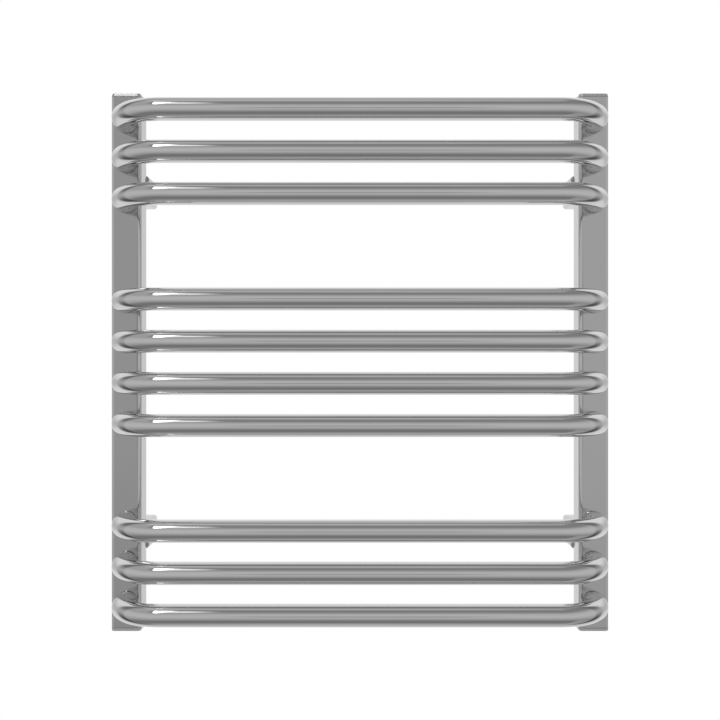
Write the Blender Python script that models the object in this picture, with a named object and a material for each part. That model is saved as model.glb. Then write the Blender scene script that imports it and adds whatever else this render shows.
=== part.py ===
"""Wall-hung ladder towel warmer: two square posts joined by ten bent tubes, on four wall brackets.

Metres, +Z up. The rack faces -Y. The origin lies on the wall, at the middle of the four brackets.
The posts and tubes are hollow and carry hot water. They are fed from below through a threaded
socket in each post, and an air vent sits behind the top of the left post.
"""
from math import cos, pi, radians, sin

import bmesh
import bpy
from mathutils import Matrix, Vector

# Driving dimensions
WIDTH = 0.500  # over the two posts
HEIGHT = 0.540  # over the end caps
POST_SIZE = 0.030  # side of the square post
POST_CORNER = 0.004
POST_WALL = 0.0015
WALL_TO_POST = 0.0435  # from the wall to the back of the posts
CAP_THICKNESS = 0.003
CAP_EDGE = 0.0025  # the rim is nearly a full quarter round
CAP_SPIGOT = 0.005
GAP = 0.0003  # between pieces that touch

TUBE_RADIUS = 0.011
TUBE_WALL = 0.0012
TUBE_REACH = 0.052  # from the post's front to the tube's centre line
BEND_RADIUS = 0.044
TUBE_INSERTION = 0.003
TUBE_PITCH = 0.04025
TUBE_GROUPS = (3, 4, 3)
GROUP_STEP = 2.5 * TUBE_PITCH  # from the last tube of a group to the first of the next

BRACKET_WIDTH = 0.034
BRACKET_HEIGHT = 0.0285
BRACKET_CORNER = 0.0035
BRACKET_Z = 0.1782  # above and below the middle of the rack
SLEEVE_WALL = 0.002
SLEEVE_FRONT = 0.003
SLIDE_CLEARANCE = 0.0004
ANCHOR_LENGTH = 0.026
WALL_SCREW_RADIUS = 0.0028
WALL_SCREW_HEAD_RADIUS = 0.0055
WALL_SCREW_HEAD_DEPTH = 0.008

SCREW_RADIUS = 0.0026
SCREW_HEAD_RADIUS = 0.0055
SCREW_HEAD = 0.003
SCREW_GRIP = 0.008  # how far the sleeve screw goes into its insert
INSERT_RADIUS = 0.005
INSERT_BULGE_RADIUS = 0.0064
INSERT_LENGTH = 0.012
GRUB_RADIUS = 0.0022
GRUB_FROM_WALL = 0.012
SCREW_KEY_RADIUS = 0.0021  # six-sided key sockets, centre to corner
GRUB_KEY_RADIUS = 0.0012
PLUG_KEY_RADIUS = 0.0046

SOCKET_BORE_RADIUS = 0.0093  # half inch pipe thread
SOCKET_NECK_RADIUS = 0.012
SOCKET_RADIUS = 0.013
SOCKET_LENGTH = 0.0165

FITTING_Z = 0.2485  # air vent and blanking plug
FITTING_SHANK_RADIUS = 0.0063
FITTING_SHANK = 0.006
FLANGE_RADIUS = 0.010
FLANGE_THICKNESS = 0.004
SEAL_THICKNESS = 0.002
NECK_RADIUS = 0.005
NECK_LENGTH = 0.006
BLEED_SCREW_RADIUS = 0.0025
BLEED_HEAD_RADIUS = 0.0038
BLEED_HEAD = 0.003
BLEED_SLOT = 0.001
NOZZLE_RADIUS = 0.008
SPOUT_RADIUS = 0.0018
SPOUT_REACH = 0.010

# Places worked out from them
POST_X = (WIDTH - POST_SIZE) / 2
POST_BACK_Y = -WALL_TO_POST
POST_FRONT_Y = POST_BACK_Y - POST_SIZE
POST_TOP_Z = HEIGHT / 2 - CAP_THICKNESS - GAP
SIDES = {"left": -POST_X, "right": POST_X}
LEVELS = {"upper": BRACKET_Z, "lower": -BRACKET_Z}

FLANGE_START = SEAL_THICKNESS + 2 * GAP  # heights above the post's back face
FLANGE_END = FLANGE_START + FLANGE_THICKNESS
NECK_END = FLANGE_END + NECK_LENGTH
BEYOND = 0.1  # carries a cutter past the piece it cuts

# Local +Z turned to point away from the wall, and towards it
AWAY_FROM_WALL = Matrix.Rotation(radians(90), 4, "X")
TOWARDS_WALL = Matrix.Rotation(radians(-90), 4, "X")
DOWNWARDS = Matrix.Rotation(radians(180), 4, "X")


def tube_heights():
    """Heights of the tubes' centre lines, from the top down."""
    heights = []
    z = 0.0
    for count in TUBE_GROUPS:
        heights += [z - i * TUBE_PITCH for i in range(count)]
        z = heights[-1] - GROUP_STEP
    middle = (heights[0] + heights[-1]) / 2
    return [h - middle for h in heights]


def make_material(name, colour, roughness, metallic):
    material = bpy.data.materials.new(name)
    material.use_nodes = True
    shader = material.node_tree.nodes["Principled BSDF"]
    shader.inputs["Base Color"].default_value = (*colour, 1.0)
    shader.inputs["Roughness"].default_value = roughness
    shader.inputs["Metallic"].default_value = metallic
    return material


# Meshes


def finish_mesh(bm, name):
    """Turn a bmesh into a mesh with its faces pointing out and its round parts smooth."""
    bmesh.ops.remove_doubles(bm, verts=bm.verts, dist=1e-6)
    bmesh.ops.recalc_face_normals(bm, faces=bm.faces)
    mesh = bpy.data.meshes.new(name)
    bm.to_mesh(mesh)
    bm.free()
    mesh.shade_smooth()
    mesh.set_sharp_from_angle(angle=radians(32))
    return mesh


def rounded_rectangle(width, height, corner, steps=3):
    """Outline in XY, anticlockwise, with an arc of a few steps at each corner."""
    points = []
    for quarter in range(4):
        centre_x = (width / 2 - corner) * (1 if quarter in (0, 3) else -1)
        centre_y = (height / 2 - corner) * (1 if quarter in (0, 1) else -1)
        for i in range(steps + 1):
            angle = (quarter + i / steps) * pi / 2
            points.append((centre_x + corner * cos(angle), centre_y + corner * sin(angle)))
    return points


def circle(radius, steps):
    return [(radius * cos(2 * pi * i / steps), radius * sin(2 * pi * i / steps)) for i in range(steps)]


def add_loop(bm, points, z=0.0):
    verts = [bm.verts.new((x, y, z)) for x, y in points]
    return [bm.edges.new((verts[i], verts[i - 1])) for i in range(len(verts))]


def push(bm, faces, offset, start=False):
    """Extrude flat faces by an offset and return the faces at the far end.

    The first faces of a solid stay as its end. Faces already on a solid would be left inside it.
    """
    grown = bmesh.ops.extrude_face_region(bm, geom=faces)["geom"]
    bmesh.ops.translate(bm, verts=[g for g in grown if isinstance(g, bmesh.types.BMVert)], vec=offset)
    if not start:
        bmesh.ops.delete(bm, geom=faces, context="FACES")
    return [g for g in grown if isinstance(g, bmesh.types.BMFace)]


def block(points, z_low, z_high):
    """Solid with the given outline."""
    bm = bmesh.new()
    edges = add_loop(bm, points, z_low)
    face = bmesh.ops.contextual_create(bm, geom=edges)["faces"]
    push(bm, face, (0, 0, z_high - z_low), start=True)
    return bm


def ring_faces(bm, outer, inner, z=0.0):
    """Flat ring between two outlines with the same number of points."""
    edges = add_loop(bm, outer, z) + add_loop(bm, inner, z)
    return bmesh.ops.bridge_loops(bm, edges=edges)["faces"]


def turned(profile, steps=16):
    """Solid turned round Z from (radius, z) points: a closed ring, or a path from axis to axis."""
    bm = bmesh.new()
    verts = [bm.verts.new((radius, 0, z)) for radius, z in profile]
    first = 1 if profile[0][0] == 0 else 0
    edges = [bm.edges.new((verts[i - 1], verts[i])) for i in range(first, len(verts))]
    bmesh.ops.spin(bm, geom=verts + edges, axis=(0, 0, 1), angle=2 * pi, steps=steps, use_merge=True)
    return bm


def cut(mesh, *cutters):
    """Take each cutter, a bmesh, out of the mesh."""
    body = bpy.data.objects.new(mesh.name, mesh)
    bpy.context.collection.objects.link(body)
    tools = []
    for bm in cutters:
        tool = bpy.data.objects.new("cutter", finish_mesh(bm, "cutter"))
        tool.hide_render = True
        tool.display_type = "WIRE"
        bpy.context.collection.objects.link(tool)
        modifier = body.modifiers.new("cut", "BOOLEAN")
        modifier.object = tool
        tools.append(tool)
    evaluated = body.evaluated_get(bpy.context.evaluated_depsgraph_get())
    result = bpy.data.meshes.new_from_object(evaluated)
    for thing in [body, *tools]:
        bpy.data.objects.remove(thing)
    result.set_sharp_from_angle(angle=radians(32))
    return result


def drill(radius, low, high, position=(0, 0, 0), rotation=Matrix(), steps=24):
    """Cylinder for cutting a hole, along the turned Z axis."""
    bm = turned([(0, low), (radius, low), (radius, high), (0, high)], steps)
    bm.transform(Matrix.Translation(position) @ rotation)
    return bm


def hex_key(radius, low, high):
    """Six-sided socket cutter along Z."""
    return block(circle(radius, 6), low, high)


# Sub-parts. Each function returns a mesh in the sub-part's own frame.


def post_mesh():
    """Square tube with holes for the tubes, the bracket inserts and the fitting at the top."""
    bm = bmesh.new()
    outer = rounded_rectangle(POST_SIZE, POST_SIZE, POST_CORNER)
    bore = POST_SIZE - 2 * POST_WALL
    inner = rounded_rectangle(bore, bore, POST_CORNER - POST_WALL)
    faces = ring_faces(bm, outer, inner, -POST_TOP_Z)
    push(bm, faces, (0, 0, 2 * POST_TOP_Z), start=True)
    tube_hole = TUBE_RADIUS + 1.5 * GAP
    insert_hole = INSERT_RADIUS + 1.5 * GAP
    fitting_hole = FITTING_SHANK_RADIUS + 1.5 * GAP
    cutters = [drill(tube_hole, 0, POST_SIZE, (0, 0, z), AWAY_FROM_WALL) for z in tube_heights()]
    cutters += [drill(insert_hole, 0, POST_SIZE, (0, 0, z), TOWARDS_WALL) for z in LEVELS.values()]
    cutters.append(drill(fitting_hole, 0, POST_SIZE, (0, 0, FITTING_Z), TOWARDS_WALL))
    return cut(finish_mesh(bm, "post"), *cutters)


def top_cap_mesh():
    """Plate with a rounded rim and a spigot that plugs the post. Its underside is at z = 0."""
    bm = cap_plate()
    underside = [f for f in bm.faces if f.normal.z < -0.9]
    bmesh.ops.inset_region(bm, faces=underside, thickness=POST_WALL + GAP)
    underside = [f for f in bm.faces if f.normal.z < -0.9 and f.calc_center_median().xy.length < 1e-4]
    push(bm, underside, (0, 0, -CAP_SPIGOT))
    return finish_mesh(bm, "top_cap")


def bottom_cap_mesh():
    """Plate with a rounded rim, holed for the pipe socket."""
    neck_hole = drill(SOCKET_NECK_RADIUS + 1.5 * GAP, -BEYOND, BEYOND)
    return cut(finish_mesh(cap_plate(), "bottom_cap"), neck_hole)


def cap_plate():
    bm = block(rounded_rectangle(POST_SIZE, POST_SIZE, POST_CORNER), 0, CAP_THICKNESS)
    bmesh.ops.recalc_face_normals(bm, faces=bm.faces)
    rim = [e for e in bm.edges if all(v.co.z > CAP_THICKNESS / 2 for v in e.verts)]
    bmesh.ops.bevel(bm, geom=rim, offset=CAP_EDGE, segments=3, profile=0.5, affect="EDGES")
    bm.normal_update()
    return bm


def pipe_socket_mesh():
    """Threaded bush inside the foot of a post. Its mouth is at z = 0."""
    shoulder = CAP_THICKNESS + 2 * GAP
    profile = [
        (SOCKET_BORE_RADIUS, 0),
        (SOCKET_NECK_RADIUS, 0),
        (SOCKET_NECK_RADIUS, shoulder),
        (SOCKET_RADIUS, shoulder),
        (SOCKET_RADIUS, SOCKET_LENGTH),
        (SOCKET_BORE_RADIUS, SOCKET_LENGTH),
    ]
    return finish_mesh(turned(profile, 24), "pipe_socket")


def tube_mesh(sides=12, bend_steps=6):
    """Tube bent back into both posts. Its frame has y = 0 at the posts' front."""
    bm = bmesh.new()
    faces = ring_faces(bm, circle(TUBE_RADIUS, sides), circle(TUBE_RADIUS - TUBE_WALL, sides))
    start = Matrix.Translation((-POST_X, TUBE_INSERTION, 0)) @ AWAY_FROM_WALL
    bmesh.ops.transform(bm, matrix=start, verts=bm.verts)
    leg = TUBE_INSERTION + TUBE_REACH - BEND_RADIUS
    bend_y = BEND_RADIUS - TUBE_REACH
    bend_x = POST_X - BEND_RADIUS
    faces = push(bm, faces, (0, -leg, 0), start=True)
    faces = bend(bm, faces, (-bend_x, bend_y, 0), bend_steps)
    faces = push(bm, faces, (2 * bend_x, 0, 0))
    faces = bend(bm, faces, (bend_x, bend_y, 0), bend_steps)
    push(bm, faces, (0, leg, 0))
    return finish_mesh(bm, "tube")


def bend(bm, faces, centre, steps):
    """Carry the faces a quarter turn to the left, seen from above."""
    swept = bmesh.ops.spin(
        bm, geom=faces, cent=centre, axis=(0, 0, 1), angle=pi / 2, steps=steps, use_duplicate=False
    )
    bmesh.ops.delete(bm, geom=faces, context="FACES")
    return [g for g in swept["geom_last"] if isinstance(g, bmesh.types.BMFace)]


def anchor_mesh():
    """Block screwed to the wall. Its z runs away from the wall, from z = 0 on the wall."""
    inset = 2 * (SLEEVE_WALL + SLIDE_CLEARANCE)
    outline = rounded_rectangle(
        BRACKET_WIDTH - inset, BRACKET_HEIGHT - inset, BRACKET_CORNER - inset / 2
    )
    head_floor = ANCHOR_LENGTH - WALL_SCREW_HEAD_DEPTH
    hole = [
        (0, -BEYOND),
        (WALL_SCREW_RADIUS, -BEYOND),
        (WALL_SCREW_RADIUS, head_floor),
        (WALL_SCREW_HEAD_RADIUS, head_floor),
        (WALL_SCREW_HEAD_RADIUS, BEYOND),
        (0, BEYOND),
    ]
    return cut(finish_mesh(block(outline, 0, ANCHOR_LENGTH), "anchor"), turned(hole))


def sleeve_mesh():
    """Cover open to the wall, with a hole for its screw in front and for the grub screw below."""
    length = WALL_TO_POST - GAP
    bm = block(rounded_rectangle(BRACKET_WIDTH, BRACKET_HEIGHT, BRACKET_CORNER), GAP, length)
    cavity = rounded_rectangle(
        BRACKET_WIDTH - 2 * SLEEVE_WALL,
        BRACKET_HEIGHT - 2 * SLEEVE_WALL,
        BRACKET_CORNER - SLEEVE_WALL,
    )
    grub_side = (0, 0, GRUB_FROM_WALL)
    return cut(
        finish_mesh(bm, "sleeve"),
        block(cavity, -GAP, length - SLEEVE_FRONT),
        drill(SCREW_RADIUS + 1.5 * GAP, 0, BEYOND, steps=16),
        drill(GRUB_RADIUS + 1.5 * GAP, 0, BEYOND, grub_side, AWAY_FROM_WALL, 16),
    )


def sleeve_screw_mesh():
    """Socket-head screw. Its z = 0 is where the head rests on the sleeve."""
    tip = SLEEVE_FRONT + GAP + SCREW_GRIP
    profile = [
        (0, -SCREW_HEAD),
        (SCREW_HEAD_RADIUS, -SCREW_HEAD),
        (SCREW_HEAD_RADIUS, -GAP),
        (SCREW_RADIUS, -GAP),
        (SCREW_RADIUS, tip),
        (0, tip),
    ]
    return cut(
        finish_mesh(turned(profile), "sleeve_screw"),
        hex_key(SCREW_KEY_RADIUS, -BEYOND, -SCREW_HEAD / 2),
    )


def insert_mesh():
    """Blind threaded insert set in the back of a post. Its z = 0 is flush with the post."""
    bulge = POST_WALL + GAP
    thread_radius = SCREW_RADIUS + 1.5 * GAP
    floor = SCREW_GRIP + 2 * GAP
    profile = [
        (0, INSERT_LENGTH),
        (INSERT_RADIUS, INSERT_LENGTH),
        (INSERT_RADIUS, 2.4 * bulge),
        (INSERT_BULGE_RADIUS, 2 * bulge),
        (INSERT_BULGE_RADIUS, bulge),
        (INSERT_RADIUS, bulge),
        (INSERT_RADIUS, 0),
        (thread_radius, 0),
        (thread_radius, floor),
        (0, floor),
    ]
    return finish_mesh(turned(profile), "insert")


def grub_screw_mesh():
    """Set screw in the sleeve's wall. Its z = 0 is flush with the outside."""
    profile = [(0, 0), (GRUB_RADIUS, 0), (GRUB_RADIUS, SLEEVE_WALL), (0, SLEEVE_WALL)]
    return cut(
        finish_mesh(turned(profile), "grub_screw"),
        hex_key(GRUB_KEY_RADIUS, -BEYOND, SLEEVE_WALL / 2),
    )


def fitting_seal_mesh():
    """O-ring between a fitting's flange and the post. Its z = 0 is on the post."""
    section = SEAL_THICKNESS / 2
    middle = FITTING_SHANK_RADIUS + section + GAP
    profile = [
        (middle + section * cos(2 * pi * i / 8), GAP + section + section * sin(2 * pi * i / 8))
        for i in range(8)
    ]
    return finish_mesh(turned(profile, 20), "fitting_seal")


def plug_mesh():
    """Blanking plug. Its z runs out of the back of the post, from z = 0 on the post."""
    profile = [
        (0, -FITTING_SHANK),
        (FITTING_SHANK_RADIUS, -FITTING_SHANK),
        (FITTING_SHANK_RADIUS, FLANGE_START),
        (FLANGE_RADIUS, FLANGE_START),
        (FLANGE_RADIUS, FLANGE_END),
        (0, FLANGE_END),
    ]
    return cut(
        finish_mesh(turned(profile, 20), "plug"),
        hex_key(PLUG_KEY_RADIUS, FLANGE_START, BEYOND),
    )


def vent_body_mesh():
    """Air vent's body, drilled through for the bleed screw, with a neck for the nozzle."""
    bore = BLEED_SCREW_RADIUS + 1.5 * GAP
    profile = [
        (bore, -FITTING_SHANK),
        (FITTING_SHANK_RADIUS, -FITTING_SHANK),
        (FITTING_SHANK_RADIUS, FLANGE_START),
        (FLANGE_RADIUS, FLANGE_START),
        (FLANGE_RADIUS, FLANGE_END),
        (NECK_RADIUS, FLANGE_END),
        (NECK_RADIUS, NECK_END),
        (bore, NECK_END),
    ]
    return finish_mesh(turned(profile, 20), "vent_body")


def vent_nozzle_mesh():
    """Collar that turns on the vent's neck, with a spout to one side."""
    low = FLANGE_END + GAP
    high = NECK_END - GAP
    bm = block(circle(NOZZLE_RADIUS, 20), low, high)
    collar = bpy.data.objects.new("collar", finish_mesh(bm, "vent_nozzle"))
    middle = (0, 0, (low + high) / 2)
    sideways = Matrix.Rotation(radians(90), 4, "Y")
    spout_bm = drill(SPOUT_RADIUS, NECK_RADIUS, SPOUT_REACH, middle, sideways, 12)
    spout = bpy.data.objects.new("spout", finish_mesh(spout_bm, "spout"))
    for thing in (collar, spout):
        bpy.context.collection.objects.link(thing)
    join = collar.modifiers.new("join", "BOOLEAN")
    join.operation = "UNION"
    join.object = spout
    evaluated = collar.evaluated_get(bpy.context.evaluated_depsgraph_get())
    mesh = bpy.data.meshes.new_from_object(evaluated)
    for thing in (collar, spout):
        bpy.data.objects.remove(thing)
    neck_hole = drill(NECK_RADIUS + 1.5 * GAP, -BEYOND, BEYOND, steps=20)
    spout_hole = drill(SPOUT_RADIUS / 2, 0, BEYOND, middle, sideways, 8)
    return cut(mesh, neck_hole, spout_hole)


def bleed_screw_mesh():
    """Screw that opens the vent, with a slotted head."""
    seat = NECK_END + GAP
    profile = [
        (0, 0),
        (BLEED_SCREW_RADIUS, 0),
        (BLEED_SCREW_RADIUS, seat),
        (BLEED_HEAD_RADIUS, seat),
        (BLEED_HEAD_RADIUS, seat + BLEED_HEAD),
        (0, seat + BLEED_HEAD),
    ]
    slot = rounded_rectangle(3 * BLEED_HEAD_RADIUS, BLEED_SLOT, BLEED_SLOT / 4, 1)
    return cut(
        finish_mesh(turned(profile), "bleed_screw"),
        block(slot, seat + BLEED_HEAD / 2, BEYOND),
    )


# Assembly


def place(name, mesh, material, position, rotation=Matrix()):
    """Put a sub-part in the scene under its own name."""
    thing = bpy.data.objects.new(name, mesh)
    thing.matrix_world = Matrix.Translation(Vector(position)) @ rotation
    mesh.materials.clear()
    mesh.materials.append(material)
    bpy.context.collection.objects.link(thing)
    return thing


def build_posts(chrome, steel):
    post, top_cap, bottom_cap, socket = (
        post_mesh(), top_cap_mesh(), bottom_cap_mesh(), pipe_socket_mesh()
    )
    y = POST_BACK_Y - POST_SIZE / 2
    cap_z = POST_TOP_Z + GAP
    for side, x in SIDES.items():
        place(f"{side}_post", post, chrome, (x, y, 0))
        place(f"{side}_top_cap", top_cap, chrome, (x, y, cap_z))
        place(f"{side}_bottom_cap", bottom_cap, chrome, (x, y, -cap_z), DOWNWARDS)
        place(f"{side}_pipe_socket", socket, steel, (x, y, -HEIGHT / 2))


def build_tubes(chrome):
    tube = tube_mesh()
    for number, z in enumerate(tube_heights(), start=1):
        place(f"towel_bar_{number:02d}", tube, chrome, (0, POST_FRONT_Y, z))


def build_brackets(chrome, steel, zinc):
    anchor, sleeve, screw = anchor_mesh(), sleeve_mesh(), sleeve_screw_mesh()
    insert, grub = insert_mesh(), grub_screw_mesh()
    screw_y = POST_BACK_Y + GAP + SLEEVE_FRONT
    for level, z in LEVELS.items():
        for side, x in SIDES.items():
            prefix = f"{level}_{side}_bracket"
            place(f"{prefix}_anchor", anchor, zinc, (x, 0, z), AWAY_FROM_WALL)
            place(f"{prefix}_sleeve", sleeve, chrome, (x, 0, z), AWAY_FROM_WALL)
            place(f"{prefix}_screw", screw, steel, (x, screw_y, z), AWAY_FROM_WALL)
            place(f"{prefix}_insert", insert, steel, (x, POST_BACK_Y, z), AWAY_FROM_WALL)
            grub_position = (x, -GRUB_FROM_WALL, z - BRACKET_HEIGHT / 2)
            place(f"{prefix}_grub_screw", grub, steel, grub_position)


def build_fittings(chrome, plastic, rubber):
    left = (SIDES["left"], POST_BACK_Y, FITTING_Z)
    right = (SIDES["right"], POST_BACK_Y, FITTING_Z)
    seal = fitting_seal_mesh()
    place("vent_seal", seal, rubber, left, TOWARDS_WALL)
    place("vent_body", vent_body_mesh(), chrome, left, TOWARDS_WALL)
    place("vent_nozzle", vent_nozzle_mesh(), plastic, left, TOWARDS_WALL)
    place("bleed_screw", bleed_screw_mesh(), chrome, left, TOWARDS_WALL)
    place("plug_seal", seal, rubber, right, TOWARDS_WALL)
    place("blanking_plug", plug_mesh(), chrome, right, TOWARDS_WALL)


def main():
    for old in list(bpy.data.objects):
        bpy.data.objects.remove(old)
    chrome = make_material("polished_chrome", (0.80, 0.81, 0.82), 0.06, 1.0)
    steel = make_material("zinc_plated_steel", (0.55, 0.56, 0.57), 0.35, 1.0)
    zinc = make_material("cast_zinc", (0.45, 0.45, 0.46), 0.5, 1.0)
    plastic = make_material("white_plastic", (0.85, 0.85, 0.83), 0.45, 0.0)
    rubber = make_material("black_rubber", (0.03, 0.03, 0.03), 0.7, 0.0)
    build_posts(chrome, steel)
    build_tubes(chrome)
    build_brackets(chrome, steel, zinc)
    build_fittings(chrome, plastic, rubber)


main()
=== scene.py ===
# %% [markdown]
# # A polished ladder towel warmer
# The rack is two square posts, ten tubes bent back into them, and four brackets that stand it off
# the wall. Nearly all of it is polished metal, so two things decide how it looks: surfaces that
# curve truly, because a mirror shows every facet, and a studio worth reflecting.

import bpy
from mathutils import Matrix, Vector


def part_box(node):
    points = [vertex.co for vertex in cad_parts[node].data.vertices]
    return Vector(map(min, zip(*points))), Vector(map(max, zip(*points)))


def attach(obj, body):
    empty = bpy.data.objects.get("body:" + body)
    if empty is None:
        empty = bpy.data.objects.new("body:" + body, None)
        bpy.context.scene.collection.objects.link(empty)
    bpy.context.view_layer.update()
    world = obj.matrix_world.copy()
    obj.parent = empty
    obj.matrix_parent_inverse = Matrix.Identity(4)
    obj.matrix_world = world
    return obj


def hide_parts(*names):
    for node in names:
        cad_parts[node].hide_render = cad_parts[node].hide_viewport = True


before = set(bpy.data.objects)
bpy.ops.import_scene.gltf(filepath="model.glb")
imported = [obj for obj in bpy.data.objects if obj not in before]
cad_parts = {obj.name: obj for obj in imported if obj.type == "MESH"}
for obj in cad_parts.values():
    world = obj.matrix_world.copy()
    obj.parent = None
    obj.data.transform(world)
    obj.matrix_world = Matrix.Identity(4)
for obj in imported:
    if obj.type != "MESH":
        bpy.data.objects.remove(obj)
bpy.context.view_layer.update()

# %% Modules and the scene's collection
from math import cos, pi, radians, sin

import bmesh
import bpy
from mathutils import Matrix, Vector

scene = bpy.context.scene
MM = 0.001

# %% [markdown]
# ## Places and sizes
# Every place is read from the frame: a node's box gives its centre, its faces and its size. Only
# what a box can't tell, such as a bend radius or a wall thickness, is written down here.


# %% Read the posts and the tubes
def middle_of(node_name):
    """The middle of a node's box."""
    low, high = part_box(node_name)
    return (low + high) / 2


post_low, post_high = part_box("left_post")
post_size = post_high.x - post_low.x
post_x = -middle_of("left_post").x
post_y = middle_of("left_post").y
post_front_y, post_back_y = post_low.y, post_high.y
tube_names = sorted(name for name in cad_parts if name.startswith("towel_bar_"))
first_low, first_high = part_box(tube_names[0])
tube_radius = (first_high.z - first_low.z) / 2
tube_front_y = first_low.y + tube_radius
tube_end_y = first_high.y
tube_heights = [middle_of(name).z for name in tube_names]
print("post", round(post_size / MM, 1), "mm at x", round(post_x / MM, 1), "mm")
print("tubes", [round(z / MM, 1) for z in tube_heights])

# %% Sizes that a box doesn't give
BEND_RADIUS = 44 * MM
TUBE_WALL = 1.2 * MM
POST_CORNER = 4 * MM
POST_WALL = 1.5 * MM
CAP_ROUND = 0.7 * MM
SLEEVE_CORNER = 3.5 * MM
SLEEVE_WALL = 2 * MM
SLEEVE_FRONT = 3 * MM
SUPPORT = 0.2 * MM  # how far a support edge lies from a rounded one
PLAY = 0.3 * MM  # the gap between two pieces that fit into each other
TUBE_SIDES = 56
SHARP_ANGLE = radians(35)  # an edge is shaded sharp from here on
SIDES = {"left": -post_x, "right": post_x}
BRACKETS = [name[: -len("_sleeve")] for name in sorted(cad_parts) if name.endswith("_sleeve")]
print("brackets:", BRACKETS)

# %% [markdown]
# ## Finishes
# Chrome is a metal with almost no colour of its own. Real chrome is never perfectly even: it was
# buffed along its length, hands have touched it, and the plating varies a little. Each of these is
# a noise: a stretched one for the buffing, read by a very weak bump, and a broad one for the film
# that changes the roughness. The patterns read Object coordinates, so they stay on the metal.


# %% Small helpers for node trees
def add(tree, kind, settings=None, **inputs):
    """Add a node, set its properties, and fill or link its inputs by name."""
    node = tree.nodes.new(kind)
    for key, value in (settings or {}).items():
        setattr(node, key, value)
    for key, value in inputs.items():
        plug(tree, node, key.replace("_", " "), value)
    return node


def plug(tree, node, name, value):
    """Fill an input with a value, or link it to a socket. A name may also be a number."""
    socket = node.inputs[int(name) if name.strip().isdigit() else name]
    if isinstance(value, bpy.types.NodeSocket):
        tree.links.new(value, socket)
    else:
        socket.default_value = value


def maths(tree, operation, *values):
    node = tree.nodes.new("ShaderNodeMath")
    node.operation = operation
    for i, value in enumerate(values):
        plug(tree, node, str(i), value)
    return node.outputs[0]


def ramp(tree, factor, stops):
    """Colour ramp of greys from (place, level) stops."""
    node = tree.nodes.new("ShaderNodeValToRGB")
    elements = node.color_ramp.elements
    for place, level in stops[1:-1]:
        elements.new(place)
    for element, (place, level) in zip(elements, stops):
        element.position = place
        element.color = (level, level, level, 1)
    tree.links.new(factor, node.inputs[0])
    return node.outputs["Color"]


# %% Start a material
def start_material(name, roughness, metallic=0.0):
    """A material with its Principled shader and its object coordinates."""
    material = bpy.data.materials.new(name)
    material.use_nodes = True
    tree = material.node_tree
    shader = tree.nodes["Principled BSDF"]
    shader.inputs["Metallic"].default_value = metallic
    shader.inputs["Roughness"].default_value = roughness
    place = add(tree, "ShaderNodeTexCoord").outputs["Object"]
    return material, tree, shader, place


def noise(tree, place, scale, detail=3.0, stretch=(1, 1, 1)):
    """Noise on the given coordinates, drawn out along an axis by a small scale there."""
    mapping = add(tree, "ShaderNodeMapping", Vector=place, Scale=stretch)
    texture = add(tree, "ShaderNodeTexNoise", Vector=mapping.outputs[0], Scale=scale, Detail=detail)
    return texture.outputs["Fac"]


def between(tree, factor, low, high, start=0.3, end=0.7):
    """Spread a noise over a range."""
    node = add(
        tree, "ShaderNodeMapRange",
        Value=factor, From_Min=start, From_Max=end, To_Min=low, To_Max=high,
    )
    return node.outputs[0]


def mix_colours(tree, share, first, second, how="MIX"):
    """Mix two colours, each of them a value or a socket."""
    mix = tree.nodes.new("ShaderNodeMix")
    mix.data_type = "RGBA"
    mix.blend_type = how
    for name, value in (("0", share), ("6", first), ("7", second)):
        plug(tree, mix, name, value)
    return mix.outputs[2]


def greys(tree, factor, dark, light):
    """Colour between two near-greys, picked by a noise."""
    return mix_colours(tree, between(tree, factor, 0.0, 1.0), (*dark, 1), (*light, 1))


# %% Polished metal
PLATING_PATCHES = 14  # the sizes of the noises, as patches in a metre
FILM_PATCHES = 22
BUFFING_LINES = 900
BUFFING_DEPTH = 0.02 * MM
BUFFING_STRENGTH = 0.04
PLATING_CHANGE = 0.015  # the share by which the grey changes


def polished_metal(name, grey, roughness, along=(1, 1, 1)):
    """Bright metal with buffing lines, a faint film and a slight change of plating."""
    material, tree, shader, place = start_material(name, roughness, metallic=1.0)
    dark = [c * (1 - PLATING_CHANGE) for c in grey]
    light = [c * (1 + PLATING_CHANGE) for c in grey]
    plating = greys(tree, noise(tree, place, PLATING_PATCHES), dark, light)
    tree.links.new(plating, shader.inputs["Base Color"])
    film = noise(tree, place, FILM_PATCHES, detail=5)
    film_roughness = between(tree, film, roughness * 0.75, roughness * 1.35)
    tree.links.new(film_roughness, shader.inputs["Roughness"])
    lines = noise(tree, place, BUFFING_LINES, detail=2, stretch=along)
    bump = add(
        tree, "ShaderNodeBump", Height=lines, Strength=BUFFING_STRENGTH, Distance=BUFFING_DEPTH
    )
    tree.links.new(bump.outputs[0], shader.inputs["Normal"])
    return material


tube_chrome = polished_metal("tube_chrome", (0.715, 0.715, 0.715), 0.045, along=(0.02, 1, 1))
post_chrome = polished_metal("post_chrome", (0.46, 0.46, 0.46), 0.07, along=(1, 1, 0.02))
cap_chrome = polished_metal("cap_chrome", (0.66, 0.66, 0.66), 0.31)
sleeve_chrome = polished_metal("sleeve_chrome", (0.60, 0.60, 0.60), 0.08, along=(1, 0.02, 1))
fitting_chrome = polished_metal("fitting_chrome", (0.69, 0.69, 0.69), 0.10)
bead_chrome = polished_metal("bead_chrome", (0.60, 0.60, 0.60), 0.36)
print("polished:", [m.name for m in bpy.data.materials])
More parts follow.
